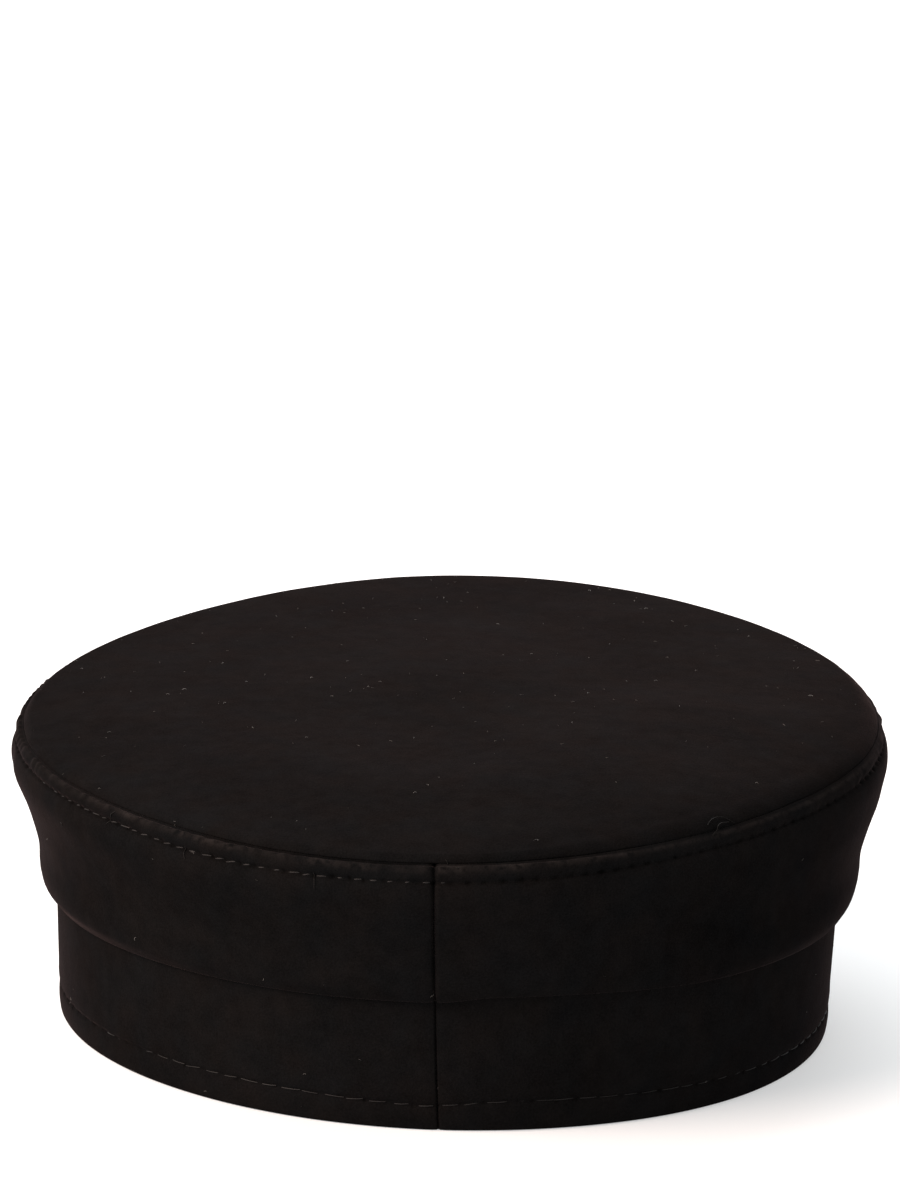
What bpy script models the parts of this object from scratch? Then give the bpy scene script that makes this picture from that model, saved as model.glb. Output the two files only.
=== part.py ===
"""A baker boy hat: a flat oval tip on a flared side wall, an upright band, and a peak.

The hat stands on the rim of its band. It faces -Y, and its back seam is at +Y.
Lengths are in metres and angles in degrees. Turns are counted from +X towards +Y.
"""

from collections import namedtuple
from math import cos, exp, hypot, pi, radians, sin, tan

import bmesh
import bpy

# Band, measured outside at its top, from the middle of the head
BAND_WIDTH = 0.174
BAND_BACK = 0.0948
BAND_FRONT = 0.1035
BAND_SHOWN = 0.0286
BAND_TUCK = 0.0044
BAND_WALL = 0.0024
RIM_TAPER = 0.0013

# Side wall, from its lower fold up to the seam of the tip
SIDE_RISE = 0.038
SIDE_FLARE = 0.0092
SIDE_WALL = 0.002
FOLD_LEAN = 0.85

# Tip, on a plane that is higher at the front and leans a little to -X
TIP_WALL = 0.0017
TIP_DOME = 0.0006
TIP_SLOPE = 3.8
TIP_LEAN = 1.2
TIP_CORNER = 0.027

# Peak, and the arch of the rim over it
PEAK_REACH = 0.046
PEAK_SPREAD = 62.0
PEAK_END = 0.0015
PEAK_COVER = 0.0016
PEAK_ARCH = 0.0035
PEAK_ARCH_SPAN = 0.7
PEAK_FULLNESS = 0.8
FRONT_RISE = 0.0095
ARCH_MARGIN = 4.0

# Back seam, a slit between two turned edges
SEAM_SLIT = 0.0004
SEAM_ROLL = 0.0015
SEAM_DIP = 0.0007
SEAM_LEAN = 1.3

# Dents in the oval, and the clearance between pieces
DENT_DEPTH = 0.0015
DENT_SPREAD = 32.0
GAP = 0.0003

# Mesh steps
ROUND_STEPS = 80
PEAK_STEPS = 36

BACK = 90.0
FRONT = 270.0

# Height as a share of the band, and how far each face is turned in, as a share of its wall
BandRow = namedtuple("BandRow", "height inset")
BAND_ROWS = (
    BandRow(height=0.00, inset=0.25),
    BandRow(height=0.02, inset=0.00),
    BandRow(height=0.50, inset=0.00),
    BandRow(height=1.00, inset=0.00),
)

# Height as a share of SIDE_RISE, and distance outside the band as a share of SIDE_FLARE
SideRow = namedtuple("SideRow", "climb flare")
SIDE_ROWS = (
    SideRow(climb=0.00, flare=0.05),
    SideRow(climb=0.05, flare=0.21),
    SideRow(climb=0.14, flare=0.37),
    SideRow(climb=0.30, flare=0.42),
    SideRow(climb=0.50, flare=0.64),
    SideRow(climb=0.68, flare=0.88),
    SideRow(climb=0.82, flare=1.00),
    SideRow(climb=0.93, flare=0.92),
    SideRow(climb=1.00, flare=0.79),
)

# The tip's rolled edge: size as a share of its outline, and height as a share of TIP_WALL
RollRow = namedtuple("RollRow", "size height")
ROLL_ROWS = (
    RollRow(size=1.000, height=0.0),
    RollRow(size=0.997, height=0.4),
    RollRow(size=0.985, height=0.8),
)

# Sizes of the rings on both faces of the tip, inside its rolled edge
TIP_RINGS = (0.96, 0.85, 0.60, 0.30)

# Distance from the peak's root as a share of its reach, and thickness as a share of a cover's
PeakRow = namedtuple("PeakRow", "reach cover")
PEAK_ROWS = (
    PeakRow(reach=0.00, cover=1.0),
    PeakRow(reach=0.30, cover=1.0),
    PeakRow(reach=0.60, cover=1.0),
    PeakRow(reach=0.85, cover=1.0),
    PeakRow(reach=0.96, cover=0.9),
    PeakRow(reach=1.00, cover=0.5),
)

# Distance from the slit as a share of SEAM_ROLL, and depth as a share of SEAM_DIP
SeamStep = namedtuple("SeamStep", "away dip")
SEAM_STEPS = (
    SeamStep(away=0.0, dip=1.0),
    SeamStep(away=0.4, dip=0.35),
    SeamStep(away=1.0, dip=0.0),
)

# Where the oval is pushed in, as shares of DENT_DEPTH at the band and at the tip
Dent = namedtuple("Dent", "turn band tip")
DENTS = (
    Dent(turn=45, band=0.8, tip=0.1),
    Dent(turn=135, band=-1.0, tip=-0.25),
    Dent(turn=225, band=0.0, tip=-0.5),
    Dent(turn=315, band=0.0, tip=0.8),
)

BAND_HEIGHT = BAND_SHOWN + BAND_TUCK
PEAK_THICKNESS = 2 * PEAK_COVER + GAP
TIP_EDGE = GAP + SIDE_ROWS[-1].flare * SIDE_FLARE
BACK_REACH = BAND_BACK + GAP + SIDE_FLARE
FRONT_REACH = BAND_FRONT + PEAK_REACH

CLOTH_COLOR = (0.012, 0.0098, 0.0095, 1.0)
CLOTH_ROUGHNESS = 0.95
SHARP_ANGLE = 40.0


def mix(low, high, share):
    """The value a share of the way from low to high."""
    return low + (high - low) * share


def dent(turn, climb):
    """How far the oval is pushed in at a turn, from the band (climb 0) to the tip (climb 1)."""
    depth = 0.0
    for each in DENTS:
        away = (turn - each.turn + 180) % 360 - 180
        depth += mix(each.band, each.tip, climb) * exp(-((away / DENT_SPREAD) ** 2))
    return depth * DENT_DEPTH


def oval(turn, out, climb):
    """A point of the hat's oval, at a turn and a distance outside the band."""
    angle = radians(turn)
    reach = BAND_BACK if sin(angle) > 0 else BAND_FRONT
    pull = 1 + TIP_CORNER * climb * (cos(4 * angle) - 1) / 2
    x = (BAND_WIDTH / 2 + out) * cos(angle) * pull
    y = (reach + out) * sin(angle) * pull
    keep = 1 - dent(turn, climb) / hypot(x, y)
    return x * keep, y * keep


def front_rise(turn):
    """How far the rim, and the fold above it, arch up over the peak."""
    away = abs((turn - FRONT + 180) % 360 - 180) / (PEAK_SPREAD + ARCH_MARGIN)
    return FRONT_RISE * cos(pi / 2 * min(away, 1.0)) ** 2


def fold_height(turn, x):
    """Height of the side wall's lower fold."""
    return BAND_SHOWN + front_rise(turn) - tan(radians(FOLD_LEAN)) * x


def seam_height(x, y):
    """Height of the seam between the side wall and the tip."""
    return BAND_SHOWN + SIDE_RISE - tan(radians(TIP_SLOPE)) * y - tan(radians(TIP_LEAN)) * x


def seam_lean(height):
    """Turn of the back seam away from the middle, which fades from the rim up to the tip."""
    return SEAM_LEAN * max(0.0, 1 - height / (BAND_SHOWN + SIDE_RISE)) ** 2


def band_out(share):
    """Where the band's outer face is, against its top, at a share of its height."""
    return -RIM_TAPER * (1 - share)


def round_steps():
    """Pairs of turn and seam dip, once around the hat from one side of the slit to the other."""
    to_turn = 360 / (pi * BAND_WIDTH)
    near = [((SEAM_SLIT / 2 + step.away * SEAM_ROLL) * to_turn, step.dip * SEAM_DIP) for step in SEAM_STEPS]
    first = near[-1][0]
    count = ROUND_STEPS - 2 * len(near) + 2
    middle = [(mix(first, 360 - first, i / count), 0.0) for i in range(1, count)]
    far = [(360 - turn, dip) for turn, dip in reversed(near)]
    return [(BACK + turn, dip) for turn, dip in near + middle + far]


def band_loops():
    """Sections of the band, each up its outer face and down its inner one."""
    loops = []
    for turn, dip in round_steps():
        outer = []
        inner = []
        for row in BAND_ROWS:
            height = row.height * BAND_HEIGHT
            place = turn + seam_lean(height)
            out = band_out(row.height)
            z = height + front_rise(place)
            outer.append((*oval(place, out - row.inset * BAND_WALL - dip, 0.0), z))
            inner.append((*oval(place, out - (1 - row.inset) * BAND_WALL, 0.0), z))
        loops.append(outer + inner[::-1])
    return loops


def side_point(turn, out, climb):
    """A point of the side wall, between the heights of its fold and of its seam there."""
    x, y = oval(turn, out, climb)
    return x, y, mix(fold_height(turn, x), seam_height(x, y), climb)


def side_loops():
    """Sections of the side wall, each up its outer face and down its inner one."""
    loops = []
    for turn, dip in round_steps():
        outer = []
        inner = []
        for row in SIDE_ROWS:
            place = turn + seam_lean(BAND_SHOWN + row.climb * SIDE_RISE)
            out = GAP + row.flare * SIDE_FLARE
            inside = max(out - SIDE_WALL, GAP)
            dipped = max(out - dip, mix(inside, out, 0.5))
            outer.append(side_point(place, dipped, row.climb))
            inner.append(side_point(place, inside, row.climb))
        loops.append(outer + inner[::-1])
    return loops


def peak_loops(upper):
    """Sections of one cover of the peak, each out over its top and back under it.

    The upper cover's top, or the lower cover's underside, closes in at the edge.
    """
    loops = []
    root_out = band_out(PEAK_THICKNESS / BAND_HEIGHT) + GAP
    low = PEAK_COVER + GAP if upper else 0.0
    for i in range(PEAK_STEPS + 1):
        across = 2 * i / PEAK_STEPS - 1
        turn = FRONT + PEAK_SPREAD * across
        aim = radians(FRONT + PEAK_SPREAD * across / 2)
        root_x, root_y = oval(turn, root_out, 0.0)
        reach = mix(PEAK_END, PEAK_REACH, (1 - across**2) ** PEAK_FULLNESS)
        edge = PEAK_ARCH * (1 - min(1.0, abs(across) / PEAK_ARCH_SPAN) ** 2)
        over = []
        under = []
        for row in PEAK_ROWS:
            x = root_x + reach * row.reach * cos(aim)
            y = root_y + reach * row.reach * sin(aim)
            z = GAP + low + mix(front_rise(turn), edge, row.reach)
            closed = (1 - row.cover) * PEAK_COVER
            over.append((x, y, z + PEAK_COVER - (closed if upper else 0.0)))
            under.append((x, y, z + (0.0 if upper else closed)))
        loops.append(over + under[::-1])
    return loops


def tip_ring(size, height):
    """A ring of the tip, at a share of its outline and a height above its underside."""
    ring = []
    for i in range(ROUND_STEPS):
        x, y = oval(BACK + 360 * i / ROUND_STEPS, TIP_EDGE, 1.0)
        z = seam_height(x * size, y * size) + GAP + TIP_DOME * (1 - size**2) + height
        ring.append((x * size, y * size, z))
    return ring


def tip_loops():
    """Rings of the tip, from its underside out around its rolled edge and in over its top."""
    under = [tip_ring(size, 0.0) for size in reversed(TIP_RINGS)]
    edge = [tip_ring(row.size, row.height * TIP_WALL) for row in ROLL_ROWS]
    over = [tip_ring(size, TIP_WALL) for size in TIP_RINGS]
    return under + edge + over


def bridge(mesh, first, second):
    """Quads between two closed loops of vertices."""
    for i in range(len(first)):
        j = (i + 1) % len(first)
        mesh.faces.new((first[i], first[j], second[j], second[i]))


def bridge_loops(mesh, loops):
    """Makes each loop's vertices, bridges each loop to the next, and returns the two end loops."""
    rings = [[mesh.verts.new(point) for point in loop] for loop in loops]
    for first, second in zip(rings, rings[1:]):
        bridge(mesh, first, second)
    return rings[0], rings[-1]


def strip_mesh(loops):
    """A closed wall through sections, whose second half runs back beside the first."""
    mesh = bmesh.new()
    for ring in bridge_loops(mesh, loops):
        last = len(ring) - 1
        for i in range(len(ring) // 2 - 1):
            mesh.faces.new((ring[i], ring[i + 1], ring[last - i - 1], ring[last - i]))
    return mesh


def disc_mesh(loops):
    """A closed disc through rings, with a point in the middle of each face."""
    mesh = bmesh.new()
    heights = (seam_height(0, 0) + GAP + TIP_DOME, seam_height(0, 0) + GAP + TIP_DOME + TIP_WALL)
    for ring, height in zip(bridge_loops(mesh, loops), heights):
        middle = mesh.verts.new((0, 0, height))
        for i in range(len(ring)):
            mesh.faces.new((ring[i], ring[(i + 1) % len(ring)], middle))
    return mesh


def cloth_material(name):
    """The black brushed cloth of one piece."""
    material = bpy.data.materials.new(name)
    material.use_nodes = True
    shader = material.node_tree.nodes["Principled BSDF"]
    shader.inputs["Base Color"].default_value = CLOTH_COLOR
    shader.inputs["Roughness"].default_value = CLOTH_ROUGHNESS
    shader.inputs["Metallic"].default_value = 0.0
    material.diffuse_color = CLOTH_COLOR
    return material


def add_piece(name, mesh, hat):
    """Makes an object of a mesh, with its own material, under the hat's empty."""
    bmesh.ops.recalc_face_normals(mesh, faces=mesh.faces)
    data = bpy.data.meshes.new(name)
    mesh.to_mesh(data)
    mesh.free()
    data.shade_smooth()
    data.set_sharp_from_angle(angle=radians(SHARP_ANGLE))
    data.materials.append(cloth_material(f"{name}_cloth"))
    piece = bpy.data.objects.new(name, data)
    piece.parent = hat
    bpy.context.scene.collection.objects.link(piece)


def main():
    for thing in list(bpy.data.objects):
        bpy.data.objects.remove(thing)
    hat = bpy.data.objects.new("hat", None)
    hat.location = (0, (FRONT_REACH - BACK_REACH) / 2, 0)
    bpy.context.scene.collection.objects.link(hat)
    add_piece("band", strip_mesh(band_loops()), hat)
    add_piece("side_wall", strip_mesh(side_loops()), hat)
    add_piece("tip", disc_mesh(tip_loops()), hat)
    add_piece("peak_under", strip_mesh(peak_loops(upper=False)), hat)
    add_piece("peak_top", strip_mesh(peak_loops(upper=True)), hat)


main()
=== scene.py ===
# %% [markdown]
# # A baker boy hat, dressed on its CAD frame
#
# The hat is sewn from black brushed cloth: a flat oval tip, a flared side wall that folds in over
# an upright band, and a stiff peak in front. The photograph looks at its back, where one seam
# runs up the side wall and the band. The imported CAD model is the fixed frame. Each cloth piece
# here is a finer one on the same oval and the same heights, and stands for its CAD node.

from math import atan, cos, pi, radians, sin, tan

import bmesh
import bpy
import numpy as np
from mathutils import Matrix, Vector


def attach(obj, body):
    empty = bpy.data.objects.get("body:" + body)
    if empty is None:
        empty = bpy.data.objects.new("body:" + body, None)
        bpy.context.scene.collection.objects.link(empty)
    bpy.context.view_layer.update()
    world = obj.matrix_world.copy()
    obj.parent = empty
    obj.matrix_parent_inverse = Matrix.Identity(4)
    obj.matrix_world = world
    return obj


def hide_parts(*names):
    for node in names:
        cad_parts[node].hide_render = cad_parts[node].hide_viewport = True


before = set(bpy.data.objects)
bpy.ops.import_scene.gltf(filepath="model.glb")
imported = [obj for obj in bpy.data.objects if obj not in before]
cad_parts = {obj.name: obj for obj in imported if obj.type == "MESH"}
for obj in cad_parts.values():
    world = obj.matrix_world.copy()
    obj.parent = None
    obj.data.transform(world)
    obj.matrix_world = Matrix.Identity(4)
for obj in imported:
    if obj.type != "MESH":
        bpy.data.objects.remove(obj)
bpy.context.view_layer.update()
print("CAD nodes:", sorted(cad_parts))

# %% [markdown]
# ## The hat's own measures
#
# A milliner drafts every panel from one head size, so every piece here is worked out from one
# oval. These are the sizes that the CAD uses, in metres and degrees. Turns are counted from +X
# towards +Y, so the back seam is at 90 and the peak at 270. The alternative, measuring the CAD
# meshes, would give facets instead of smooth curves.

# %% Sizes shared with the CAD
MM = 0.001
BACK = 90.0
FRONT = 270.0
GAP = 0.3 * MM
BAND_WIDTH = 174 * MM
BAND_BACK = 94.8 * MM
BAND_FRONT = 103.5 * MM
BAND_SHOWN = 28.6 * MM
BAND_HEIGHT = 33 * MM
BAND_WALL = 2.4 * MM
RIM_TAPER = 1.3 * MM
SIDE_RISE = 38 * MM
SIDE_FLARE = 9.2 * MM
SIDE_WALL = 2 * MM
FOLD_LEAN = radians(0.85)
TIP_WALL = 1.7 * MM
TIP_DOME = 0.6 * MM
TIP_SLOPE = radians(3.8)
TIP_LEAN = radians(1.2)
TIP_CORNER = 0.027
PEAK_REACH = 46 * MM
PEAK_SPREAD = 62.0
PEAK_END = 1.5 * MM
PEAK_COVER = 1.6 * MM
PEAK_ARCH = 3.5 * MM
PEAK_ARCH_SPAN = 0.7
PEAK_FULLNESS = 0.8
FRONT_RISE = 9.5 * MM
ARCH_MARGIN = 4.0
SEAM_LEAN = 1.3
SEAM_TOP = BAND_SHOWN + SIDE_RISE
DENT_DEPTH = 1.5 * MM
DENT_SPREAD = 32.0
# Turn of each dent, and its share of the depth at the band and at the tip
DENTS = ((45, 0.8, 0.1), (135, -1.0, -0.25), (225, 0.0, -0.5), (315, 0.0, 0.8))
# The head's middle stands this far behind the middle of the whole hat
HEAD_MIDDLE_Y = (BAND_FRONT + PEAK_REACH - BAND_BACK - GAP - SIDE_FLARE) / 2
HEAD_MIDDLE = np.array((0, HEAD_MIDDLE_Y, 0))
print("head middle at y =", round(HEAD_MIDDLE_Y / MM, 2), "mm")


# %% The oval and the heights along it
def mix(low, high, share):
    """The value a share of the way from low to high."""
    return low + (high - low) * share


def dent(turn, climb):
    """How far the oval is pushed in, from the band (climb 0) to the tip (climb 1)."""
    depth = 0.0
    for middle, at_band, at_tip in DENTS:
        away = (turn - middle + 180) % 360 - 180
        depth = depth + mix(at_band, at_tip, climb) * np.exp(-((away / DENT_SPREAD) ** 2))
    return depth * DENT_DEPTH


def oval(turn, out, climb):
    """Points of the hat's oval at some turns, at a distance outside the band."""
    angle = np.radians(turn)
    reach = np.where(np.sin(angle) > 0, BAND_BACK, BAND_FRONT)
    pull = 1 + TIP_CORNER * climb * (np.cos(4 * angle) - 1) / 2
    x = (BAND_WIDTH / 2 + out) * np.cos(angle) * pull
    y = (reach + out) * np.sin(angle) * pull
    keep = 1 - dent(turn, climb) / np.hypot(x, y)
    return x * keep, y * keep


def front_rise(turn):
    """How far the rim, and the fold above it, arch up over the peak."""
    away = np.abs((turn - FRONT + 180) % 360 - 180) / (PEAK_SPREAD + ARCH_MARGIN)
    return FRONT_RISE * np.cos(pi / 2 * np.minimum(away, 1.0)) ** 2


def fold_height(turn, x):
    """Height of the side wall's lower fold."""
    return BAND_SHOWN + front_rise(turn) - tan(FOLD_LEAN) * x


def seam_height(x, y):
    """Height of the seam between the side wall and the tip."""
    return SEAM_TOP - tan(TIP_SLOPE) * y - tan(TIP_LEAN) * x


def seam_lean(height):
    """How far the back seam leans away from the middle, in degrees, at a height."""
    return SEAM_LEAN * np.maximum(0.0, 1 - height / SEAM_TOP) ** 2


# %% Even steps around the oval
FINE_TURNS = np.linspace(BACK, BACK + 360, 7201)


def walked(out, climb):
    """Length walked along the oval from the back seam, at each of the fine turns."""
    x, y = oval(FINE_TURNS, out, climb)
    return np.concatenate(([0.0], np.cumsum(np.hypot(np.diff(x), np.diff(y)))))


def turn_at(length, out, climb):
    """The turn at a length walked along the oval from the back seam."""
    return np.interp(length, walked(out, climb), FINE_TURNS)


print("around the band:", round(walked(0, 0)[-1] / MM, 1), "mm")

# %% [markdown]
# ## Camera
#
# The photograph was taken from behind the hat, a little above it, with a long lens. The camera
# aims at the middle of the hat, then turns up so that the hat stands low in the frame, and rolls
# a little, as the picture does. A long lens on a close target would flatten the oval wrongly, so
# the distance was fitted together with the lens.

# %% Camera
CAMERA_DISTANCE = 1.3
CAMERA_ELEVATION = radians(14.704)
CAMERA_SWING = radians(1.359)
CAMERA_ROLL = radians(1.508)
IMAGE_WIDTH, IMAGE_HEIGHT = 900, 1200
PIXELS_PER_METRE = 4487
HAT_PIXEL = (446.6, 854.5)
SENSOR = 36
AIM = Vector((0, HEAD_MIDDLE_Y, 35 * MM))


def add_object(name, data):
    """Links some data to the scene as an object."""
    made = bpy.data.objects.new(name, data)
    bpy.context.scene.collection.objects.link(made)
    return made


focal_pixels = PIXELS_PER_METRE * CAMERA_DISTANCE
level = cos(CAMERA_ELEVATION)
back_off = Vector((-level * sin(CAMERA_SWING), level * cos(CAMERA_SWING), sin(CAMERA_ELEVATION)))
look = (-back_off).to_track_quat("-Z", "Y").to_matrix()
up_turn = atan((HAT_PIXEL[1] - IMAGE_HEIGHT / 2) / focal_pixels)
side_turn = atan((HAT_PIXEL[0] - IMAGE_WIDTH / 2) / focal_pixels)
aimed = look @ Matrix.Rotation(CAMERA_ROLL, 3, "Z")
aimed = aimed @ Matrix.Rotation(up_turn, 3, "X") @ Matrix.Rotation(side_turn, 3, "Y")

camera = add_object("camera", bpy.data.cameras.new("camera"))
camera.data.sensor_width = SENSOR
camera.data.lens = focal_pixels * SENSOR / IMAGE_HEIGHT
camera.data.clip_end = 50
camera.matrix_world = Matrix.Translation(AIM + CAMERA_DISTANCE * back_off) @ aimed.to_4x4()
bpy.context.scene.camera = camera
print("lens", round(camera.data.lens, 1), "mm, camera", [round(v, 3) for v in camera.location])

# %% [markdown]
# ## Nodes, named once
#
# Materials and Geometry Nodes are both trees of nodes. Clicking them together by hand can't be
# repeated, and a script that adds each Math node by name is hard to read. Here a wire stands for
# the output of a node, and a sum on wires adds the node that does it. A node group gets named
# inputs, so that each material can use it with its own values.


# %% Wires
class Wire:
    """The output of a node, which adds and multiplies as a number does."""

    def __init__(self, maker, socket):
        self.maker = maker
        self.socket = socket

    def __add__(self, other):
        return self.maker.sum("ADD", self, other)

    def __sub__(self, other):
        return self.maker.sum("SUBTRACT", self, other)

    def __rsub__(self, other):
        return self.maker.sum("SUBTRACT", other, self)

    def __mul__(self, other):
        return self.maker.sum("MULTIPLY", self, other)

    def __truediv__(self, other):
        return self.maker.sum("DIVIDE", self, other)

    def __rtruediv__(self, other):
        return self.maker.sum("DIVIDE", other, self)

    def clipped(self, factor, offset):
        """The number times a factor plus an offset, kept between 0 and 1."""
        return self.maker.sum("MULTIPLY_ADD", self, factor, offset, use_clamp=True)


class Maker:
    """Adds nodes to a tree."""

    def __init__(self, tree):
        self.tree = tree

    def feed(self, inputs, values):
        """Links each input that is named or numbered to a wire, or sets its value."""
        for key, value in dict(values).items():
            if isinstance(value, Wire):
                self.tree.links.new(value.socket, inputs[key])
            else:
                inputs[key].default_value = value

    def node(self, kind, values=(), **settings):
        """Adds a node, makes its settings, and feeds its inputs."""
        made = self.tree.nodes.new(kind)
        for name, value in settings.items():
            setattr(made, name, value)
        self.feed(made.inputs, values)
        return made

    def wire(self, kind, values=(), output=0, **settings):
        """Adds a node, and gives back one of its outputs."""
        return Wire(self, self.node(kind, values, **settings).outputs[output])

    def wires(self, made):
        """All the outputs of a node, by name."""
        return {output.name: Wire(self, output) for output in made.outputs}

    def sum(self, operation, *values, **settings):
        """One sum on numbers or wires."""
        return self.wire("ShaderNodeMath", enumerate(values), operation=operation, **settings)

    def scaled(self, vector, factor):
        """A vector or a colour times a number."""
        return self.wire("ShaderNodeVectorMath", {0: vector, "Scale": factor}, operation="SCALE")

    def vector(self, x=0.0, y=0.0, z=0.0):
        """A vector from its three coordinates."""
        return self.wire("ShaderNodeCombineXYZ", {0: x, 1: y, 2: z})

    def split(self, vector):
        """The three coordinates of a vector."""
        return list(self.wires(self.node("ShaderNodeSeparateXYZ", {0: vector})).values())

    def noise(self, place, scale, detail):
        """Soft noise, about 0.5 in the middle."""
        values = {"Vector": place, "Scale": scale, "Detail": detail}
        return self.wire("ShaderNodeTexNoise", values)

    def blend(self, share, first, second):
        """A colour between two colours."""
        return self.wire("ShaderNodeMix", {0: share, 6: first, 7: second}, 2, data_type="RGBA")

    def bell(self, value, middle, width):
        """A smooth hill: 1 at its middle, and next to nothing two widths away."""
        away = (value - middle) / width
        return self.sum("EXPONENT", away * away * -1.0)


# %% Groups and materials
SOCKETS = {float: "NodeSocketFloat", int: "NodeSocketInt", tuple: "NodeSocketVector"}
OUTPUTS = {"ShaderNodeTree": "NodeSocketFloat", "GeometryNodeTree": "NodeSocketGeometry"}


def new_group(name, kind, inputs, outputs):
    """A node group whose inputs are named with their values, or with their kind where it is text."""
    tree = bpy.data.node_groups.new(name, kind)
    for label, value in inputs.items():
        plain = isinstance(value, str)
        socket = value if plain else SOCKETS[type(value)]
        made = tree.interface.new_socket(label, in_out="INPUT", socket_type=socket)
        if not plain:
            made.default_value = value
    for label in outputs:
        tree.interface.new_socket(label, in_out="OUTPUT", socket_type=OUTPUTS[kind])
    maker = Maker(tree)
    given = maker.wires(tree.nodes.new("NodeGroupInput"))
    return maker, given, tree.nodes.new("NodeGroupOutput").inputs


def new_material(name):
    """A material with the maker of its tree, its shader's inputs, and the place on the object."""
    material = bpy.data.materials.new(name)
    material.use_nodes = True
    maker = Maker(material.node_tree)
    inputs = material.node_tree.nodes["Principled BSDF"].inputs
    return material, maker, inputs, maker.wire("ShaderNodeTexCoord", output="Object")


# %% [markdown]
# ## Brushed nap
#
# The cloth is brushed until a short nap covers its weave. Close up it is a fine grain, and from
# further away soft smears where the nap lies another way. A weave pattern would be wrong here, so
# three noises of different sizes are added up. The group puts out a tone that multiplies the
# colour, a height for the Bump node, a roughness, and how warm the dye looks.

# %% Nap group
NAP_INPUTS = {
    "Vector": "NodeSocketVector",
    "Smear size": 26 * MM,
    "Smear": 0.30,
    "Dapple size": 4 * MM,
    "Dapple": 0.35,
    "Grain size": 0.4 * MM,
    "Grain": 0.5,
}


def make_nap_group():
    """Smears, dapples and grain of a brushed cloth."""
    outputs = ("Tone", "Height", "Roughness", "Warmth")
    maker, given, result = new_group("brushed nap", "ShaderNodeTree", NAP_INPUTS, outputs)
    place = given["Vector"]
    parts = []
    for label, detail in (("Smear", 3.0), ("Dapple", 4.0), ("Grain", 2.0)):
        values = {"Vector": place, "Scale": 1.0 / given[f"{label} size"], "Detail": detail, "Roughness": 0.55}
        parts.append((maker.wire("ShaderNodeTexNoise", values) - 0.5) * 2.0 * given[label])
    smear, dapple, grain = parts
    hue = maker.noise(place, 0.4 / given["Dapple size"], 3.0)
    values = {
        "Tone": smear + dapple + grain + 1.0,
        "Height": dapple * 1.5 + grain,
        "Roughness": 0.94 - grain * 0.3,
        "Warmth": hue * 3.0 - 1.0,
    }
    maker.feed(result, values)
    return maker.tree


nap_group = make_nap_group()
print("nap group nodes:", len(nap_group.nodes))

# %% [markdown]
# ## Needle holes
#
# In a lockstitch each needle hole ends one stitch and starts the next, and the thread pulls the
# cloth into it, so a small pit sits in every gap. Cutting hundreds of pits would cost many faces
# for a fraction of a millimetre, so the cloth material gives each pit a bump and paints its shade
# into the colour. The cloth's own map runs in metres along and across the seam, so a group can
# work out how far a point is from the nearest gap. The row wanders a little, and some holes are
# deeper than others.

# %% Needle hole group
HOLE_INPUTS = {
    "Along": 0.0,
    "Across": 0.0,
    "Row": 4 * MM,
    "Pitch": 3.5 * MM,
    "Hole length": 0.58 * MM,
    "Hole height": 0.42 * MM,
}


def make_hole_group():
    """A mask of the pits between the stitches of a row."""
    maker, given, result = new_group("needle holes", "ShaderNodeTree", HOLE_INPUTS, ("Mask",))
    even = given["Along"] / given["Pitch"]

    def chance(start, scale):
        """A number that changes softly from stitch to stitch."""
        values = {"W": even + start, "Scale": scale, "Detail": 2.0}
        return maker.wire("ShaderNodeTexNoise", values, noise_dimensions="1D")

    wander = chance(0.0, 0.7)
    depth = chance(311.7, 1.1).clipped(3.4, -1.1)
    phase = maker.sum("FRACT", even + (wander * 0.8 - 0.4))
    away = (0.5 - maker.sum("ABSOLUTE", phase - 0.5)) * given["Pitch"]
    along = maker.bell(away, 0.0, given["Hole length"])
    row = given["Row"] + (wander - 0.5) * (1.6 * MM)
    across = maker.bell(given["Across"], row, given["Hole height"])
    maker.feed(result, {"Mask": along * across * depth})
    return maker.tree


hole_group = make_hole_group()
print("needle hole group nodes:", len(hole_group.nodes))

# %% [markdown]
# ## The cloth material
#
# Dark nap takes most of the light and gives a little back at grazing angles, which shows as paler
# edges. That is what sheen in the Principled shader does, so its weight is set on the shader, and
# only colour, roughness and bump change over the surface. Where the cloth's attribute for wear and
# painted light is above zero the colour turns pale in flecks, partly nap worn pale and partly a
# painted highlight, and below zero the colour is darkened as painted shade.

# %% Cloth material
CLOTH_COLOR = (0.0044, 0.0044, 0.0046)
WARM_CLOTH = (0.0050, 0.0044, 0.0043, 1)
# Pale nap colour for flecks of worn nap and for the painted highlight on the ridge
WEAR_AND_HIGHLIGHT_CLOTH = (0.0165, 0.0138, 0.0130, 1)
# Painted shade inside the needle holes
HOLE_SHADE_COLOR = (0.002, 0.0018, 0.0017, 1)
FLECK_SCALE = 620.0


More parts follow.
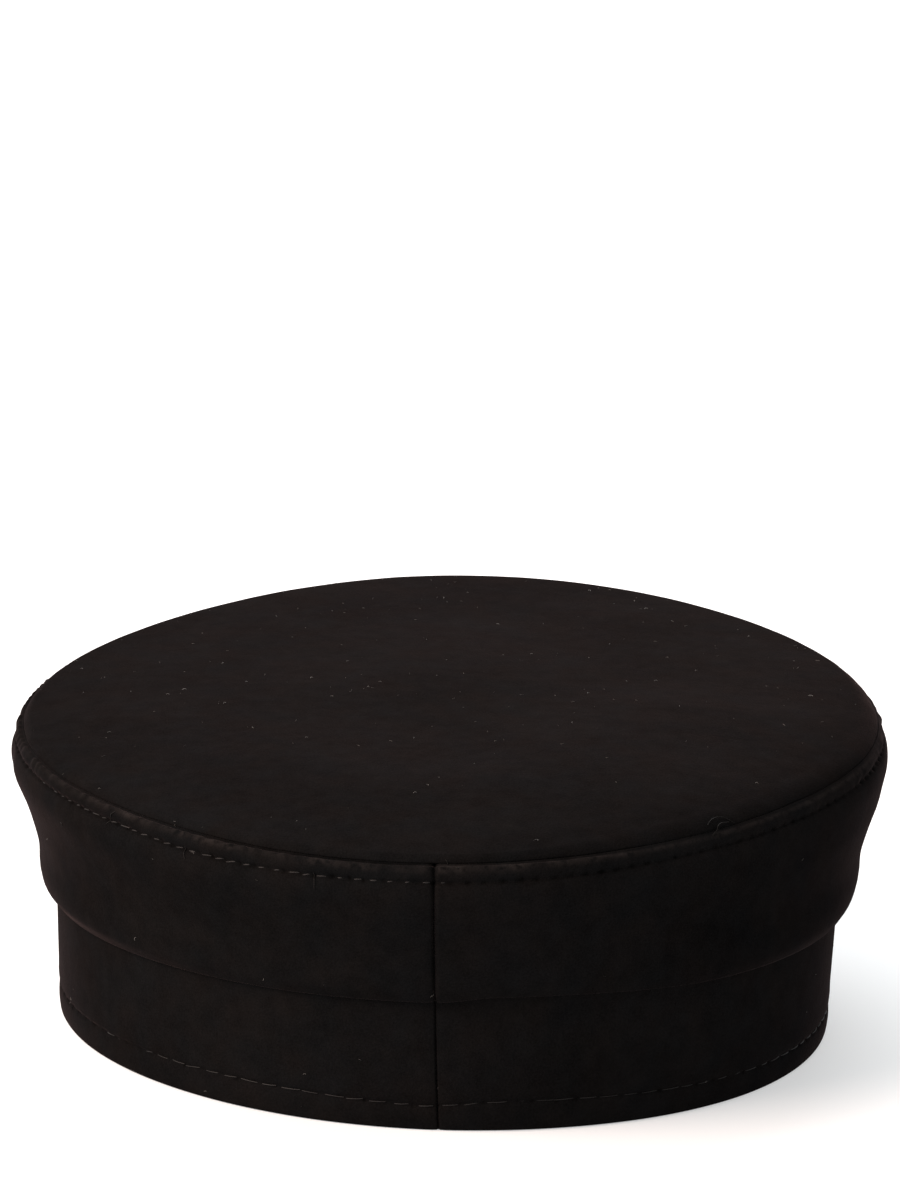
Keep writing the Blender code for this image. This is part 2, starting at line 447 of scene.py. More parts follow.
def cloth_material(name, holes=None, tone=1.0, smear_size=26 * MM, rubbed=False):
    """Black brushed cloth, with needle holes where holes gives (row, pitch)."""
    material, maker, inputs, place = new_material(name)
    values = {"Vector": place, "Smear size": smear_size}
    nap = maker.wires(maker.node("ShaderNodeGroup", values, node_tree=nap_group))
    base = tuple(value * tone for value in CLOTH_COLOR)
    color = maker.blend(nap["Warmth"], (*base, 1), WARM_CLOTH)
    color = maker.scaled(color, nap["Tone"])
    height = nap["Height"]
    # Above zero: pale flecks of worn nap and painted highlight; below zero: painted shade
    if rubbed:
        wear_and_light_mark = maker.wire("ShaderNodeAttribute", output="Fac", attribute_name="rubbed")
        share = wear_and_light_mark * maker.noise(place, FLECK_SCALE, 2.0).clipped(4.0, -1.3)
        color = maker.blend(share, maker.scaled(color, wear_and_light_mark.clipped(1.0, 1.0)), WEAR_AND_HIGHLIGHT_CLOTH)
    if holes:
        along, across, _ = maker.split(maker.wire("ShaderNodeUVMap", uv_map="cloth"))
        values = {"Along": along, "Across": across, "Row": holes[0], "Pitch": holes[1]}
        hole = maker.wire("ShaderNodeGroup", values, node_tree=hole_group)
        # Painted shade in each needle hole, on top of its bump
        color = maker.blend(hole * 0.85, color, HOLE_SHADE_COLOR)
        height = height - hole * 1.5
    bump = {"Height": height, "Strength": 0.5, "Distance": 0.15 * MM}
    values = {
        "Base Color": color,
        "Roughness": nap["Roughness"],
        "Normal": maker.wire("ShaderNodeBump", bump),
        "Specular IOR Level": 0.0,
        "Sheen Weight": 0.054,
        "Sheen Roughness": 0.25,
        "Sheen Tint": (1.0, 0.73, 0.73, 1),
    }
    maker.feed(inputs, values)
    material.diffuse_color = (*base, 1)
    return material


# %% [markdown]
# ## Floor and light
#
# The photograph is lit from the left and above, on pure white. The floor is a wide pale sheet
# that glows a little, as white acrylic does over a lit table, so the hat's shadow on it stays
# faint. Two broad suns give soft light that doesn't fade with distance, so the floor stays even.
# A small lamp would leave a bright pool on the floor and hard shadows under the folds.

# %% Floor and lights
FLOOR_HALF = 12.0
FLOOR_COLOR = (0.56, 0.575, 0.585)
FLOOR_GLOW = 0.42
WORLD_STRENGTH = 0.64
KEY_COLOR = (1.0, 0.79, 0.69)
WHITE = (1, 1, 1)

floor_mesh = bpy.data.meshes.new("floor")
corners = ((-1, -1), (1, -1), (1, 1), (-1, 1))
floor_mesh.from_pydata([(x * FLOOR_HALF, y * FLOOR_HALF, 0) for x, y in corners], [], [(0, 1, 2, 3)])
floor = add_object("floor", floor_mesh)
acrylic, maker, inputs, place = new_material("pale_acrylic")
grain = maker.noise(place, 40.0, 3.0) * 0.01 + 0.995
maker.feed(inputs, {"Base Color": maker.scaled(FLOOR_COLOR, grain), "Roughness": 0.9})
maker.feed(inputs, {"Emission Color": (*WHITE, 1), "Emission Strength": FLOOR_GLOW})
floor_mesh.materials.append(acrylic)


def add_sun(name, strength, color, turn, elevation, spread):
    """A soft sun that shines from a turn and an elevation, both in degrees."""
    lamp = bpy.data.lights.new(name, "SUN")
    lamp.energy = strength
    lamp.color = color
    lamp.angle = radians(spread)
    up = radians(elevation)
    toward = Vector((cos(up) * cos(radians(turn)), cos(up) * sin(radians(turn)), sin(up)))
    add_object(name, lamp).matrix_world = (-toward).to_track_quat("-Z", "Y").to_matrix().to_4x4()


add_sun("key_light", 5.1, KEY_COLOR, turn=22, elevation=35, spread=45)
add_sun("top_light", 2.6, WHITE, turn=290, elevation=45, spread=60)
world = bpy.data.worlds.new("studio")
world.use_nodes = True
world.node_tree.nodes["Background"].inputs["Color"].default_value = (*WHITE, 1)
world.node_tree.nodes["Background"].inputs["Strength"].default_value = WORLD_STRENGTH
bpy.context.scene.world = world
bpy.context.scene.view_settings.view_transform = "Standard"

# %% [markdown]
# ## Cloth over a grid of points
#
# Each sewn panel is a sheet that runs around the hat and up it, so it is a grid: columns around,
# rows across. Adding humps to a grid by formula is quicker than sculpting, and gives the same
# result each run. The helpers make soft ripples, find which way a grid faces, and turn a grid
# into a mesh of quads with a map in metres.


# %% Grid helpers
def hump(value, middle, width):
    """A smooth hill: 1 at its middle, and next to nothing two widths away."""
    return np.exp(-(((value - middle) / width) ** 2))


def ease(value, low, high):
    """0 below low and 1 above high, with a soft change between them."""
    share = np.clip((value - low) / (high - low), 0.0, 1.0)
    return share * share * (3 - 2 * share)


def smooth_curve(place, places, values):
    """A smooth curve through a few points."""
    places = np.asarray(places, dtype=float)
    values = np.asarray(values, dtype=float)
    slopes = np.gradient(values, places)
    k = np.clip(np.searchsorted(places, place) - 1, 0, len(places) - 2)
    step = places[k + 1] - places[k]
    s = (place - places[k]) / step
    low = (1 + 2 * s) * (1 - s) ** 2 * values[k] + s * (1 - s) ** 2 * step * slopes[k]
    high = s * s * (3 - 2 * s) * values[k + 1] + s * s * (s - 1) * step * slopes[k + 1]
    return low + high


def facing(grid):
    """Outward directions of a grid of points that closes around the hat."""
    along = np.roll(grid, -1, axis=0) - np.roll(grid, 1, axis=0)
    normal = np.cross(along, np.gradient(grid, axis=1))
    return normal / np.linalg.norm(normal, axis=2, keepdims=True)


def stacked(x, y, z):
    """One array of points from three arrays of coordinates."""
    return np.stack(np.broadcast_arrays(x, y, z), axis=-1)


def add_piece(name, mesh):
    """Adds a mesh to the scene as one piece of the hat."""
    mesh.validate()
    mesh.update()
    return add_object(name, mesh)


def store(mesh, name, values):
    """Keeps a number or a vector for each point of a mesh."""
    values = np.asarray(values, dtype=np.float32)
    kind, field = ("FLOAT_VECTOR", "vector") if values.ndim == 2 else ("FLOAT", "value")
    mesh.attributes.new(name, kind, "POINT").data.foreach_set(field, values.ravel())


def grid_mesh(name, grid, along, across, around=True, closed=True):
    """Quads over a grid in the head's frame, which may close around the hat and across."""
    columns, rows = grid.shape[:2]
    i, j = np.meshgrid(
        np.arange(columns if around else columns - 1),
        np.arange(rows if closed else rows - 1),
        indexing="ij",
    )
    i, j = i.ravel(), j.ravel()
    corners = ((i, j), (i + 1, j), (i + 1, j + 1), (i, j + 1))
    faces = np.stack([column % columns * rows + row % rows for column, row in corners], axis=1)
    spots = stacked(along, across, 0)[:, :, :2]
    mesh = bpy.data.meshes.new(name)
    mesh.from_pydata(grid.reshape(-1, 3) + HEAD_MIDDLE, [], faces)
    places = np.stack([spots[corner] for corner in corners], axis=1).astype(np.float32)
    mesh.uv_layers.new(name="cloth").data.foreach_set("uv", places.ravel())
    mesh.shade_smooth()
    return mesh


def close_rings(mesh, rings, fan=False):
    """Closes rings of points, given by number, with a fan to their middle or flat across."""
    made = bmesh.new()
    made.from_mesh(mesh)
    made.verts.ensure_lookup_table()
    for ring in [[made.verts[i] for i in numbers] for numbers in rings]:
        if not fan:
            made.faces.new(ring)
            continue
        middle = made.verts.new(sum((v.co for v in ring), Vector()) / len(ring))
        for first, second in zip(ring, ring[1:] + ring[:1]):
            made.faces.new((first, second, middle)).smooth = True
    bmesh.ops.triangulate(made, faces=[face for face in made.faces if len(face.verts) > 4])
    made.to_mesh(mesh)
    made.free()


# %% [markdown]
# ## Side wall
#
# The side wall is one long strip, sewn to the tip at its top and turned under in a soft fold at
# its bottom. The seam allowance is pressed down and topstitched, which makes a padded ridge just
# under the tip, puckered where the longer edge was eased in. It could be a cloth simulation, but
# a sewn and pressed strip doesn't drape: its shape comes from its seams. So the ridge, the
# stitched groove, the puckers and the back seam are humps on a grid, placed in millimetres from
# the seams.

# %% Side wall: where its rows and columns lie
SIDE_CLIMBS = (0.00, 0.05, 0.14, 0.30, 0.50, 0.68, 0.82, 0.93, 1.00)
SIDE_FLARES = (0.13, 0.26, 0.37, 0.42, 0.64, 0.88, 1.00, 0.91, 0.79)
TIP_EDGE = GAP + SIDE_FLARES[-1] * SIDE_FLARE
TOP_ROW = 3.9 * MM
TOP_PITCH = 3.5 * MM
SIDE_STEP = 0.58 * MM
seam_length = walked(TIP_EDGE, 1.0)[-1]
top_stitches = round(seam_length / TOP_PITCH)
top_pitch = seam_length / top_stitches

# Columns stand closer together by the back seam, and rows by the top seam
NEAR_SEAM = np.array([0, 0.09, 0.18, 0.28, 0.4, 0.55, 0.75, 1.0, 1.35, 1.8, 2.3]) * MM
even_steps = round((seam_length - 2 * NEAR_SEAM[-1]) / SIDE_STEP) + 1
even_part = np.linspace(NEAR_SEAM[-1], seam_length - NEAR_SEAM[-1], even_steps)
side_along = np.concatenate((NEAR_SEAM[:-1], even_part, seam_length - NEAR_SEAM[-2:0:-1]))
side_turns = turn_at(side_along, TIP_EDGE, 1.0)
TOP_ROWS = ((0, 2.6, 14), (2.8, 4.8, 12), (5.2, 9.2, 9))
top_rows = np.concatenate([np.linspace(*part) for part in TOP_ROWS]) * MM
print("top seam", round(seam_length / MM), "mm,", top_stitches, "stitches,", len(side_along), "columns")


# %% Side wall: the plain shape
def side_flare(climb):
    """Distance of the side wall's outer face outside the band."""
    return GAP + SIDE_FLARE * smooth_curve(climb, SIDE_CLIMBS, SIDE_FLARES)


def fold_lift(turn):
    """How far the fold is drawn up on one side of the back seam."""
    return 1.1 * MM * ease(turn, BACK + 0.5, BACK + 9) * (1 - ease(turn, BACK + 16, BACK + 42))


def side_point(turn, out, climb):
    """Points of the side wall, between the heights of its fold and of its top seam."""
    place = turn + seam_lean(BAND_SHOWN + climb * SIDE_RISE)
    x, y = oval(place, out, climb)
    return stacked(x, y, mix(fold_height(place, x) + fold_lift(place), seam_height(x, y), climb))


# The cosine tells left (above 0, as the camera sees it) from right. The ridge is plump on the left.
cosine = np.cos(np.radians(side_turns))[:, None]
plump = ease(cosine, -0.6, -0.15)
squeeze = mix(0.9, 1.0, plump) * (1 - 0.15 * ease(cosine, 0.5, 0.75)) * (1 + 0.05 * hump(cosine, 0.4, 0.2))
sample_climbs = np.linspace(1, 0, 241)
sample = side_point(side_turns[:, None], side_flare(sample_climbs)[None, :], sample_climbs[None, :])
steps = np.linalg.norm(np.diff(sample, axis=1), axis=2)
sample_below = np.concatenate((np.zeros((len(steps), 1)), np.cumsum(steps, axis=1)), axis=1)
wall_height = sample_below[:, -1:]
shares = np.concatenate((np.linspace(0, 0.86, 16)[1:], np.linspace(0.86, 1, 8)[1:]))
top_part = top_rows[None, :] * squeeze
side_below = np.concatenate((top_part, mix(top_part[:, -1:], wall_height, shares[None, :])), axis=1)
rows_and_samples = zip(side_below, sample_below)
side_climb = np.array([np.interp(rows, lengths, sample_climbs) for rows, lengths in rows_and_samples])
side_base = side_point(side_turns[:, None], side_flare(side_climb), side_climb)
print("outer rows:", side_below.shape[1], "height at the back:", round(wall_height[0, 0] / MM, 1), "mm")

# %% Side wall: the padded ridge and its puckers
# From here to the nap all lengths are in millimetres: along the top seam, and below it
run = side_along[:, None] / MM
drop = side_below / squeeze / MM
row_drop = TOP_ROW / MM
around_mm = seam_length / MM
from_seam = (run + around_mm / 2) % around_mm - around_mm / 2


def ripple(along, wave, seed):
    """Uneven soft waves about one wave long, from -1 to 1, that meet after the whole top seam."""
    count = max(4, round(around_mm / wave))
    values = np.random.default_rng(seed).uniform(-1, 1, count)
    place = along / around_mm * count
    near = np.floor(place).astype(int)
    s = place - near
    a, b, c, d = (values[(near + k) % count] for k in (-1, 0, 1, 2))
    return b + 0.5 * s * (c - a + s * (2 * a - 5 * b + 4 * c - d + s * (3 * (b - c) + d - a)))


leftward = ease(cosine, -0.1, 0.35)
far_left = ease(cosine, 0.72, 0.95)
# How far the ridge stands out at some distances below the top seam, on the left and on the right
PROFILE_AT = (0, 0.35, 0.8, 1.3, 1.8, 2.3, 2.8, 3.3, 3.9, 4.5, 5.4, 6.8, 8.5, 12, 17, 40)
PLUMP = (0, 0.06, 0.44, 0.92, 1.22, 1.25, 1.0, 0.64, 0.36, 0.44, 0.62, 0.68, 0.52, 0.2, 0, 0)
FLAT = (0, 0.02, 0.11, 0.27, 0.4, 0.38, 0.2, 0.0, -0.1, 0.04, 0.28, 0.36, 0.26, 0.1, 0, 0)
fullness = (1 + 0.12 * ripple(run, 13, 3)) * (1 - 0.35 * far_left)
plump_profile = smooth_curve(drop, PROFILE_AT, PLUMP) * fullness
padding = mix(smooth_curve(drop, PROFILE_AT, FLAT), plump_profile, plump)
# Each stitch draws in one pucker, some of them much more than others
phase = 2 * pi * run / (top_pitch / MM)
strength = np.clip(0.55 + 0.6 * ripple(run, 5, 43), 0.05, 1.2)
pucker = np.cos(phase + 2.0 * ripple(run, 9, 41)) * strength * mix(0.35, 1.0, leftward)
uneven = 0.55 * ripple(run - 0.5 * drop, 4.2, 7) + 0.3 * ripple(run + 0.7 * drop, 1.8, 8)
outward = padding + (0.09 * pucker + 0.18 * uneven) * hump(drop, 1.7, 1.1)
# By the back the wall tucks in under the tip's edge, which leaves a dark crease
tucked = ease(cosine, -0.03, 0.08) * (1 - ease(cosine, 0.35, 0.75))
outward -= 0.2 * tucked * hump(drop, 0.45, 0.4)
# Between the ridge and the stitches the flat side is crumpled
outward += mix(0.3, 0.12, plump) * uneven * hump(drop, 3.2, 1.3)
# By the back seam the ridge is fuller, and further left it sinks in one broad dent
by_seam = hump(np.abs(from_seam), 2.3, 1.5)
outward += 0.3 * by_seam * hump(drop, 1.5, 1.0)
outward -= 0.5 * hump(from_seam, -8.6, 4.2) * hump(drop, 2.6, 0.9)
# The stitches draw in a groove, with a pit in each gap between them
outward -= mix(0.15, 0.28, plump) * hump(drop, row_drop, 0.4)
pit = 0.2 * (1 + 0.9 * ripple(run, 6, 61)) * (0.5 + 0.5 * np.cos(phase)) ** 2
outward -= pit * hump(drop, row_drop - 0.1, 0.55)
print("the ridge stands out", round(float(padding.max()), 2), "mm at most")

# %% Side wall: tucks, swells and the back seam
tucks = mix(0.06, 0.18, leftward) * ripple(run - 0.2 * drop, 7, 11)
outward += tucks * ease(drop, 4.2, 6) * (1 - ease(drop, 8, 17))
swells = 0.35 * ripple(run + 0.5 * drop, 65, 13) + 0.15 * ripple(run - 0.8 * drop, 28, 17)
above_fold = (wall_height - side_below) / MM
outward += swells * ease(drop, 5, 14) * (1 - ease(above_fold, 4, 0))
outward -= 0.65 * cosine * ease(drop, 9, 18)
seam_width = mix(0.3, 0.38, hump(drop, 1.5, 1.3))
seam_depth = mix(1.1, 0.75, hump(drop, 1.0, 2.2))
outward -= seam_depth * hump(from_seam, 0, seam_width) + 0.4 * hump(from_seam, 0, 1.2)
outward += mix(0.2, 0.32, hump(drop, 2.5, 2)) * hump(from_seam, 1.0, 0.5)
upward = mix(0.08, 0.45, plump) * hump(drop, 1.15, 0.5) * (1 + 0.3 * pucker + 0.3 * uneven)

# These rows run down the wall, so the grid's own facing is turned round
side_facing = -facing(side_base)
side_outer = side_base + side_facing * outward[:, :, None] * MM
side_outer[:, :, 2] += upward * MM

# %% Side wall: worn nap, painted highlight and painted shade
# Uneven pale patches along the top of the ridge: partly nap rubbed pale, and partly a painted
# highlight where the ridge catches the light
patches = 0.35 * ripple(run - 0.6 * drop, 3.6, 47) + 0.25 * ripple(run, 11, 49)
patches += 0.35 * ripple(run + 0.4 * drop, 2.1, 53) + 0.2 * pucker
patches += mix(0.5, 0.8, from_seam < 0) * by_seam
# Right of the back seam the patches are broad at first and then a thin line
broad = np.where(from_seam < 0, leftward, 0.8 * hump(from_seam, 10, 25))
centre = 1.2 + 0.25 * hump(from_seam, -10, 16)
spread = mix(0.65, 0.85, hump(from_seam, 10, 25))
rubbed = hump(drop, centre, spread) * np.clip(0.5 + 0.7 * patches, 0.08, 1) * mix(0.5, 0.95, broad)
rubbed *= (1 - 0.75 * far_left) * (1 - hump(from_seam, 0, 0.45))
# Painted shade: the colour is darkened deep in the crease, and lower down the wall on the
# shaded right side
rubbed -= 0.28 * tucked * hump(drop, 0.25, 0.45)
rubbed -= 0.19 * ease(-cosine, 0.25, 0.7) * ease(drop, 5, 11)
print("rubbed nap: up to", round(float(rubbed.max()), 2))

# %% Side wall: its turned edges, its inside, and the mesh
inner_climb = np.concatenate((np.linspace(0.0, 0.14, 4), np.linspace(0.2, 1.0, 12)))[None, :]
allowance = 0.5 * (1 - ease(np.abs(from_seam), 6.5, 8)) - 0.4 * hump(from_seam, 0, 0.5)
inner_out = np.maximum(side_flare(inner_climb) - SIDE_WALL, GAP)
inner_out = inner_out - allowance * MM * ease(inner_climb, 0.25, 0.35)
side_inner = side_point(side_turns[:, None], inner_out, inner_climb)
fold_share = np.linspace(0, 1, 6)[1:-1][None, :, None]
fold = mix(side_outer[:, -1:], side_inner[:, :1], fold_share)
fold[:, :, 2] -= 0.22 * MM * np.sin(pi * fold_share[:, :, 0])
top_share = np.linspace(0, 1, 4)[1:-1][None, :, None]
top = mix(side_inner[:, -1:], side_outer[:, :1], top_share)
# Rows run up the outer face and down the inner one, so the strips are put together bottom first
strips = [strip[:, ::-1] for strip in (side_outer, top, side_inner, fold)]
side_grid = np.concatenate(strips, axis=1)
rest = side_grid.shape[1] + 1 - side_below.shape[1]
unseen = np.tile(-np.arange(1, rest + 1), (len(run), 1))
across = np.concatenate((drop[:, ::-1], unseen), axis=1) * MM
across = np.concatenate((across, across[:1]))
along = np.append(side_along, seam_length)[:, None]
side_wall = add_piece("side_wall_cloth", grid_mesh("side_wall_cloth", side_grid, along, across))
# This attribute carries the pale patches (worn nap and painted highlight) and the painted shade
store(side_wall.data, "rubbed", np.pad(rubbed[:, ::-1], ((0, 0), (0, rest - 1))).ravel())
# Painted shade: the side wall's copy of the cloth is a touch darker (tone 0.94) than the band's
side_nap = cloth_material("side_wall_nap", (TOP_ROW, top_pitch), tone=0.94, rubbed=True)
side_wall.data.materials.append(side_nap)
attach(side_wall, "root")
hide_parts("side_wall")
print("side wall faces:", len(side_wall.data.polygons))

# %% [markdown]
# ## Tip
#
# The tip is a flat oval panel, seamed around its edge. Where the allowance underneath is thin,
# its edge turns down sharply, and at the back right it rolls over gently into the seam. Rings
# that shrink towards the middle follow the edge everywhere, which a square grid cut to an oval
# wouldn't. The roll is a quarter of an ellipse, whose width changes around the hat.

# %% Tip: rings from its underside, around its edge, to its middle
TIP_COLUMNS = 760
tip_along = np.linspace(0, seam_length, TIP_COLUMNS, endpoint=False)
tip_turns = turn_at(tip_along, TIP_EDGE, 1.0)[:, None]
tip_run = tip_along[:, None] / MM
rolled = ease(tip_turns, 94, 128) * (1 - ease(tip_turns, 172, 205))
edge_wobble = 0.12 * ripple(tip_run, 14, 23) + 0.08 * ripple(tip_run, 5, 29)
edge_x, edge_y = oval(tip_turns, TIP_EDGE + (edge_wobble - 0.14) * MM, 1.0)
edge_reach = np.hypot(edge_x, edge_y)
roll_width = mix(1.8 * MM, 6.0 * MM, rolled)
roll_height = mix(1.3 * MM, 1.9 * MM, rolled)
nearby = (0.5 + 0.5 * np.sin(np.radians(tip_turns))) ** 2
crown = TIP_WALL + (2.6 * nearby + 1.0 * rolled) * MM

TUCK_IN = np.array([0.5, 0.25, 0.08]) * MM
TUCK_UP = np.array([-0.27, -0.27, -0.25]) * MM
ROLL_LOW = -0.18 * MM
roll_turns = np.radians([16, 22, 29, 37, 46, 55, 64, 74, 83, 90])
roll_start = roll_turns[0]
roll_in = roll_width * (1 - np.cos(roll_turns) / cos(roll_start))
roll_share = (np.sin(roll_turns) - sin(roll_start)) / (1 - sin(roll_start))
roll_up = mix(ROLL_LOW, roll_height, roll_share)
INWARD = (0.02, 0.04, 0.065, 0.095, 0.13, 0.17, 0.215, 0.265, 0.32, 0.38, 0.44, 0.5, 0.56)
inward_share = np.concatenate((INWARD, np.arange(0.62, 0.97, 0.06), [0.985]))
inner_in = mix(roll_width, edge_reach, inward_share[None, :])
under_share = np.array([0.97, 0.7, 0.45, 0.25, 0.12, 0.05, 0.02])
under_in = mix(0.9 * MM, edge_reach, under_share[None, :])
widths = [round(float(width) / MM, 1) for width in (roll_width.min(), roll_width.max())]
print("edge roll", widths[0], "to", widths[1], "mm wide")

# %% Tip: heights and the mesh
bank = 1 - (1 - np.clip((inner_in - roll_width) / (45 * MM), 0, 1)) ** 2
middle_height = TIP_WALL + 1.6 * MM
over = mix(mix(roll_height, crown, bank), middle_height, ease(inner_in, 36 * MM, 84 * MM))
ones = np.ones_like(edge_x)
inward = np.concatenate((under_in, ones * TUCK_IN, roll_in, inner_in), axis=1)
lift = np.concatenate((0 * under_in, ones * TUCK_UP, roll_up, over), axis=1)
size = 1 - inward / edge_reach
x, y = edge_x * size, edge_y * size


def dapple(x, y, wave, seed):
    """Soft uneven swells over a flat panel."""
    rng = np.random.default_rng(seed)
    total = 0.0
    for _ in range(7):
        angle, phase = rng.uniform(0, 2 * pi, 2)
        stretch = rng.uniform(0.7, 1.4) * 2 * pi / wave
        total = total + np.sin((x * cos(angle) + y * sin(angle)) * stretch + phase)
    return total / 7


swell = (0.30 * dapple(x, y, 62 * MM, 31) + 0.07 * dapple(x, y, 17 * MM, 37)) * MM
swell = swell * ease(inward, 2 * MM, 12 * MM) * (lift > 1.0 * MM)
hollow = TIP_DOME * (1 - size**2)
tip_grid = stacked(x, y, seam_height(x, y) + GAP + hollow + lift + swell)
tip_across = np.cumsum(np.abs(np.diff(inward[0], prepend=inward[0, 0])))[None, :]
along = np.append(tip_along, seam_length)[:, None]
tip_mesh = grid_mesh("tip_cloth", tip_grid, along, tip_across, closed=False)
# Painted shade: where the edge rolls over gently, the colour is darkened near the edge
shade_turns = ease(tip_turns, 88, 106) * (1 - ease(tip_turns, 172, 205))
painted_tip_shade = -0.22 * shade_turns * hump(inward, 3 * MM, 9 * MM)
store(tip_mesh, "rubbed", painted_tip_shade.ravel())
rows = tip_grid.shape[1]
points = TIP_COLUMNS * rows
close_rings(tip_mesh, (range(0, points, rows)[::-1], range(rows - 1, points, rows)), fan=True)
tip = add_piece("tip_cloth", tip_mesh)
# Painted light: the tip's copy of the cloth is a touch lighter (tone 1.05) than the band's
tip.data.materials.append(cloth_material("tip_nap", tone=1.05, smear_size=34 * MM, rubbed=True))
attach(tip, "root")
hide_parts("tip")
print("tip faces:", len(tip.data.polygons))

# %% [markdown]
# ## Band
#
# The band keeps one cross-section all the way around the head: a doubled strip with a rounded
# lower edge, a row of stitches, and a plain top that goes up behind the side wall. A shape with
# such a rule suits Geometry Nodes: a flat grid is laid out, each column is moved to its place on
# the head's path, and each row to its place on the section. Sizes are named inputs, so another
# band needs no new mesh.

# %% Band: its path and its section, as plain lines
BAND_ROW = 5.4 * MM
BAND_PITCH = 5.0 * MM
# The row wanders: how much higher it is sewn, in millimetres, at some turns
ROW_TURNS = (0, 40, 68, 80, 88, 90, 93, 98, 106, 120, 135, 180, 270, 360)
ROW_LIFTS = (0.9, 0.9, 0.85, 0.5, 0.1, 0.0, 0.35, 0.95, 1.15, 0.8, 0.35, 0.3, 0.3, 0.9)
# Heights of the outer face's rows, in millimetres: from, to and step, closer by the stitches
FACE_ROWS = ((1.5, 4.2, 0.55), (4.3, 6.7, 0.3), (7.2, 32.5, 1.15))
BAND_HEAD = ((-0.15, 32.8), (-0.5, 33.0), (-1.9, 33.0), (-2.25, 32.8))
band_length = walked(0, 0)[-1]
band_stitches = round(band_length / BAND_PITCH)


def line_mesh(name, points, closed, **attributes):
    """An object of points joined in a line, with named attributes on its points."""
    mesh = bpy.data.meshes.new(name)
    count = len(points)
    edges = [(i, (i + 1) % count) for i in range(count if closed else count - 1)]
    mesh.from_pydata(points, edges, [])
    for label, values in attributes.items():
        store(mesh, label, values)
    return add_object(name, mesh)


def row_lift(turn):
    """How far the stitches above the rim wander up."""
    return smooth_curve(turn % 360, ROW_TURNS, ROW_LIFTS) * MM


def band_taper(height):
    """How far the band's face leans out from its plain oval, below zero: in."""
    return -RIM_TAPER * (1 - height / BAND_HEIGHT)


def rim_corner(turns, out):
    """A corner of the rim, rounded to a millimetre."""
    turns = np.radians(turns)
    return np.stack((out + np.cos(turns) * MM, (1 + np.sin(turns)) * MM), axis=1)


def band_section():
    """Points (out, height) around the band's section from its rim, and where its outer face is."""
    foot = rim_corner(np.linspace(-90, 0, 8)[1:], -RIM_TAPER - MM)
    heights = np.concatenate([np.arange(*part) for part in FACE_ROWS])
    relief = 0.14 * hump(heights, 2.9, 1.3) - 0.24 * hump(heights, BAND_ROW / MM, 0.45)
    relief = relief + 0.10 * hump(heights, 8.0, 1.6)
    face = np.stack((band_taper(heights * MM) + relief * MM, heights * MM), axis=1)
    inner_heights = np.linspace(31.5, 2.0, 13) * MM
    inner = np.stack((band_taper(inner_heights) - BAND_WALL, inner_heights), axis=1)
    heel = rim_corner(np.linspace(180, 270, 5), -RIM_TAPER - BAND_WALL + MM)
    points = np.concatenate((foot, face, np.array(BAND_HEAD) * MM, inner, heel))
    return points, np.arange(len(points)) < len(foot) + len(face)


section, section_outer = band_section()
path_turns = turn_at(np.linspace(0, band_length, 900, endpoint=False), 0, 0)
path_points = stacked(*oval(path_turns, 0, 0), front_rise(path_turns)) + HEAD_MIDDLE
band_path = line_mesh("band_path", path_points, True, lift=row_lift(path_turns))
section_points = stacked(section[:, 0], 0, section[:, 1])
band_line = line_mesh("band_section", section_points, True, outer=section_outer)
print("band", round(band_length / MM), "mm around,", len(section), "rows")


# %% Band: helpers for trees that make meshes
class MeshMaker(Maker):
    """Adds nodes to a geometry tree."""

    def shape(self, thing):
        """The mesh of an object."""
        return self.wire("GeometryNodeObjectInfo", {"Object": thing}, "Geometry")

    def curve(self, thing):
        """The line of an object's points, as a curve."""
        return self.wire("GeometryNodeMeshToCurve", {0: self.shape(thing)})

    def place(self):
        """Where each point is."""
        return self.wire("GeometryNodeInputPosition")

    def named(self, name, kind="FLOAT"):
        """What a line's points keep under a name."""
        return self.wire("GeometryNodeInputNamedAttribute", {"Name": name}, data_type=kind)

    def random(self, seed, low, high):
        """A random number between two limits, another one for each point."""
        values = {"Seed": seed, 2: low, 3: high}
        return self.wire("FunctionNodeRandomValue", values, 1, data_type="FLOAT")

    def turned(self, rotation, angle):
        """A rotation, turned further around its own upright axis."""
        spin = {"Axis": (0, 0, 1), "Angle": angle}
        values = {"Rotation": rotation, "Rotate By": self.wire("FunctionNodeAxisAngleToRotation", spin)}
        return self.wire("FunctionNodeRotateRotation", values, rotation_space="LOCAL")

    def tube(self, curve, radius, sides):
        """A round tube along a curve."""
        ring = self.wire("GeometryNodeCurvePrimitiveCircle", {"Resolution": sides, "Radius": radius})
        values = {"Curve": curve, "Profile Curve": ring, "Fill Caps": True}
        return self.wire("GeometryNodeCurveToMesh", values)

    def bow(self, half, middle, end_height, steps, radius, sides):
        """A tube from one end to the other, bent by its middle point."""
        values = {"Resolution": steps, "Middle": middle}
        values["Start"] = self.vector(half * -1.0, z=end_height)
        values["End"] = self.vector(half, z=end_height)
        return self.tube(self.wire("GeometryNodeCurveQuadraticBezier", values), radius, sides)

    def put_out(self, result, mesh, material):
        """Puts out real meshes with smooth faces and their material."""
        smooth = self.wire("GeometryNodeSetShadeSmooth", {"Geometry": mesh})
        real = self.wire("GeometryNodeRealizeInstances", {0: smooth})
        values = {"Geometry": real, "Material": material}
        self.feed(result, {"Mesh": self.wire("GeometryNodeSetMaterial", values)})
        return self.tree


def mesh_group(name, inputs):
    """A geometry tree that puts out one mesh."""
    maker, given, result = new_group(name, "GeometryNodeTree", inputs, ("Mesh",))
    return MeshMaker(maker.tree), given, result


